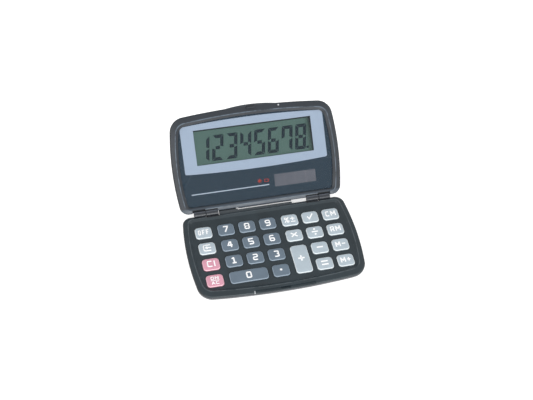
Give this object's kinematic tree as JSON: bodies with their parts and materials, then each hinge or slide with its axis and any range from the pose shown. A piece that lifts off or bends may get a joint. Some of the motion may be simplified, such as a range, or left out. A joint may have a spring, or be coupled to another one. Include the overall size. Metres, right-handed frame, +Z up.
{
  "type": "folding pocket calculator",
  "caption": "Folding pocket calculator that stands open, with a display and solar cell in its lid and sprung keys in its base.",
  "frame": {"origin": "centre of the base half's flat underside", "axes": "+Z up out of the keyboard, +X to the user's right along the hinge, +Y from the user towards the hinge"},
  "size_m": [0.1054, 0.1103, 0.0492],
  "materials": {
    "case_plastic": "satin",
    "plate_plastic": "satin",
    "bezel_plastic": "satin",
    "key_grey": "satin",
    "key_slate": "satin",
    "key_pink": "satin",
    "window_clear": "gloss",
    "window_ink": "matte",
    "display_glass": "gloss",
    "polariser_film": "gloss",
    "reflector_foil": "satin",
    "cushion_foam": "matte",
    "circuit_board": "satin",
    "chip_cover": "satin",
    "dome_rubber": "matte",
    "connector_film": "satin",
    "solar_glass": "gloss",
    "cell_steel": "satin",
    "contact_nickel": "satin",
    "screw_steel": "satin",
    "pin_steel": "polished",
    "cable_film": "satin"
  },
  "bodies": {
    "base": {"bottom_case": "case_plastic", "keyboard_plate": "plate_plastic", "dome_sheet": "dome_rubber", "main_board": "circuit_board", "processor": "chip_cover", "base_screws": "screw_steel", "hinge_pins": "pin_steel", "hinge_cable": "cable_film"},
    "lid": {"lid_shell": "case_plastic", "display_bezel": "bezel_plastic", "display_window": "window_clear", "window_print": "window_ink", "lcd_panel": "display_glass", "lcd_polariser": "polariser_film", "lcd_reflector": "reflector_foil", "display_cushion": "cushion_foam", "display_board": "circuit_board", "display_connector": "connector_film", "solar_cell": "solar_glass", "button_cell": "cell_steel", "battery_contacts": "contact_nickel", "lid_screws": "screw_steel"},
    "key_off": {"key_off": "key_grey"},
    "key_7": {"key_7": "key_slate"},
    "key_8": {"key_8": "key_slate"},
    "key_9": {"key_9": "key_slate"},
    "key_percent": {"key_percent": "key_grey"},
    "key_root": {"key_root": "key_grey"},
    "key_memory_clear": {"key_memory_clear": "key_grey"},
    "key_backspace": {"key_backspace": "key_grey"},
    "key_4": {"key_4": "key_slate"},
    "key_5": {"key_5": "key_slate"},
    "key_6": {"key_6": "key_slate"},
    "key_multiply": {"key_multiply": "key_grey"},
    "key_divide": {"key_divide": "key_grey"},
    "key_memory_recall": {"key_memory_recall": "key_grey"},
    "key_clear_entry": {"key_clear_entry": "key_pink"},
    "key_1": {"key_1": "key_slate"},
    "key_2": {"key_2": "key_slate"},
    "key_3": {"key_3": "key_slate"},
    "key_plus": {"key_plus": "key_grey"},
    "key_minus": {"key_minus": "key_grey"},
    "key_memory_minus": {"key_memory_minus": "key_grey"},
    "key_on": {"key_on": "key_pink"},
    "key_0": {"key_0": "key_slate"},
    "key_point": {"key_point": "key_slate"},
    "key_equals": {"key_equals": "key_grey"},
    "key_memory_plus": {"key_memory_plus": "key_grey"}
  },
  "joints": [
    {"name": "lid_hinge", "type": "hinge", "parent": "base", "child": "lid", "pos_m": [0, 0.03143, 0.0065], "axis": [1, 0, 0], "range_deg": [0, 137], "deforming": ["hinge_cable"]},
    {"name": "key_off_press", "type": "slide", "parent": "base", "child": "key_off", "axis": [0, 0, -1], "range_m": [0, 0.0006], "stiffness_N_per_m": 700, "deforming": ["dome_sheet"]},
    {"name": "key_7_press", "type": "slide", "parent": "base", "child": "key_7", "axis": [0, 0, -1], "range_m": [0, 0.0006], "stiffness_N_per_m": 700, "deforming": ["dome_sheet"]},
    {"name": "key_8_press", "type": "slide", "parent": "base", "child": "key_8", "axis": [0, 0, -1], "range_m": [0, 0.0006], "stiffness_N_per_m": 700, "deforming": ["dome_sheet"]},
    {"name": "key_9_press", "type": "slide", "parent": "base", "child": "key_9", "axis": [0, 0, -1], "range_m": [0, 0.0006], "stiffness_N_per_m": 700, "deforming": ["dome_sheet"]},
    {"name": "key_percent_press", "type": "slide", "parent": "base", "child": "key_percent", "axis": [0, 0, -1], "range_m": [0, 0.0006], "stiffness_N_per_m": 700, "deforming": ["dome_sheet"]},
    {"name": "key_root_press", "type": "slide", "parent": "base", "child": "key_root", "axis": [0, 0, -1], "range_m": [0, 0.0006], "stiffness_N_per_m": 700, "deforming": ["dome_sheet"]},
    {"name": "key_memory_clear_press", "type": "slide", "parent": "base", "child": "key_memory_clear", "axis": [0, 0, -1], "range_m": [0, 0.0006], "stiffness_N_per_m": 700, "deforming": ["dome_sheet"]},
    {"name": "key_backspace_press", "type": "slide", "parent": "base", "child": "key_backspace", "axis": [0, 0, -1], "range_m": [0, 0.0006], "stiffness_N_per_m": 700, "deforming": ["dome_sheet"]},
    {"name": "key_4_press", "type": "slide", "parent": "base", "child": "key_4", "axis": [0, 0, -1], "range_m": [0, 0.0006], "stiffness_N_per_m": 700, "deforming": ["dome_sheet"]},
    {"name": "key_5_press", "type": "slide", "parent": "base", "child": "key_5", "axis": [0, 0, -1], "range_m": [0, 0.0006], "stiffness_N_per_m": 700, "deforming": ["dome_sheet"]},
    {"name": "key_6_press", "type": "slide", "parent": "base", "child": "key_6", "axis": [0, 0, -1], "range_m": [0, 0.0006], "stiffness_N_per_m": 700, "deforming": ["dome_sheet"]},
    {"name": "key_multiply_press", "type": "slide", "parent": "base", "child": "key_multiply", "axis": [0, 0, -1], "range_m": [0, 0.0006], "stiffness_N_per_m": 700, "deforming": ["dome_sheet"]},
    {"name": "key_divide_press", "type": "slide", "parent": "base", "child": "key_divide", "axis": [0, 0, -1], "range_m": [0, 0.0006], "stiffness_N_per_m": 700, "deforming": ["dome_sheet"]},
    {"name": "key_memory_recall_press", "type": "slide", "parent": "base", "child": "key_memory_recall", "axis": [0, 0, -1], "range_m": [0, 0.0006], "stiffness_N_per_m": 700, "deforming": ["dome_sheet"]},
    {"name": "key_clear_entry_press", "type": "slide", "parent": "base", "child": "key_clear_entry", "axis": [0, 0, -1], "range_m": [0, 0.0006], "stiffness_N_per_m": 700, "deforming": ["dome_sheet"]},
    {"name": "key_1_press", "type": "slide", "parent": "base", "child": "key_1", "axis": [0, 0, -1], "range_m": [0, 0.0006], "stiffness_N_per_m": 700, "deforming": ["dome_sheet"]},
    {"name": "key_2_press", "type": "slide", "parent": "base", "child": "key_2", "axis": [0, 0, -1], "range_m": [0, 0.0006], "stiffness_N_per_m": 700, "deforming": ["dome_sheet"]},
    {"name": "key_3_press", "type": "slide", "parent": "base", "child": "key_3", "axis": [0, 0, -1], "range_m": [0, 0.0006], "stiffness_N_per_m": 700, "deforming": ["dome_sheet"]},
    {"name": "key_plus_press", "type": "slide", "parent": "base", "child": "key_plus", "axis": [0, 0, -1], "range_m": [0, 0.0006], "stiffness_N_per_m": 700, "deforming": ["dome_sheet"]},
    {"name": "key_minus_press", "type": "slide", "parent": "base", "child": "key_minus", "axis": [0, 0, -1], "range_m": [0, 0.0006], "stiffness_N_per_m": 700, "deforming": ["dome_sheet"]},
    {"name": "key_memory_minus_press", "type": "slide", "parent": "base", "child": "key_memory_minus", "axis": [0, 0, -1], "range_m": [0, 0.0006], "stiffness_N_per_m": 700, "deforming": ["dome_sheet"]},
    {"name": "key_on_press", "type": "slide", "parent": "base", "child": "key_on", "axis": [0, 0, -1], "range_m": [0, 0.0006], "stiffness_N_per_m": 700, "deforming": ["dome_sheet"]},
    {"name": "key_0_press", "type": "slide", "parent": "base", "child": "key_0", "axis": [0, 0, -1], "range_m": [0, 0.0006], "stiffness_N_per_m": 700, "deforming": ["dome_sheet"]},
    {"name": "key_point_press", "type": "slide", "parent": "base", "child": "key_point", "axis": [0, 0, -1], "range_m": [0, 0.0006], "stiffness_N_per_m": 700, "deforming": ["dome_sheet"]},
    {"name": "key_equals_press", "type": "slide", "parent": "base", "child": "key_equals", "axis": [0, 0, -1], "range_m": [0, 0.0006], "stiffness_N_per_m": 700, "deforming": ["dome_sheet"]},
    {"name": "key_memory_plus_press", "type": "slide", "parent": "base", "child": "key_memory_plus", "axis": [0, 0, -1], "range_m": [0, 0.0006], "stiffness_N_per_m": 700, "deforming": ["dome_sheet"]}
  ]
}
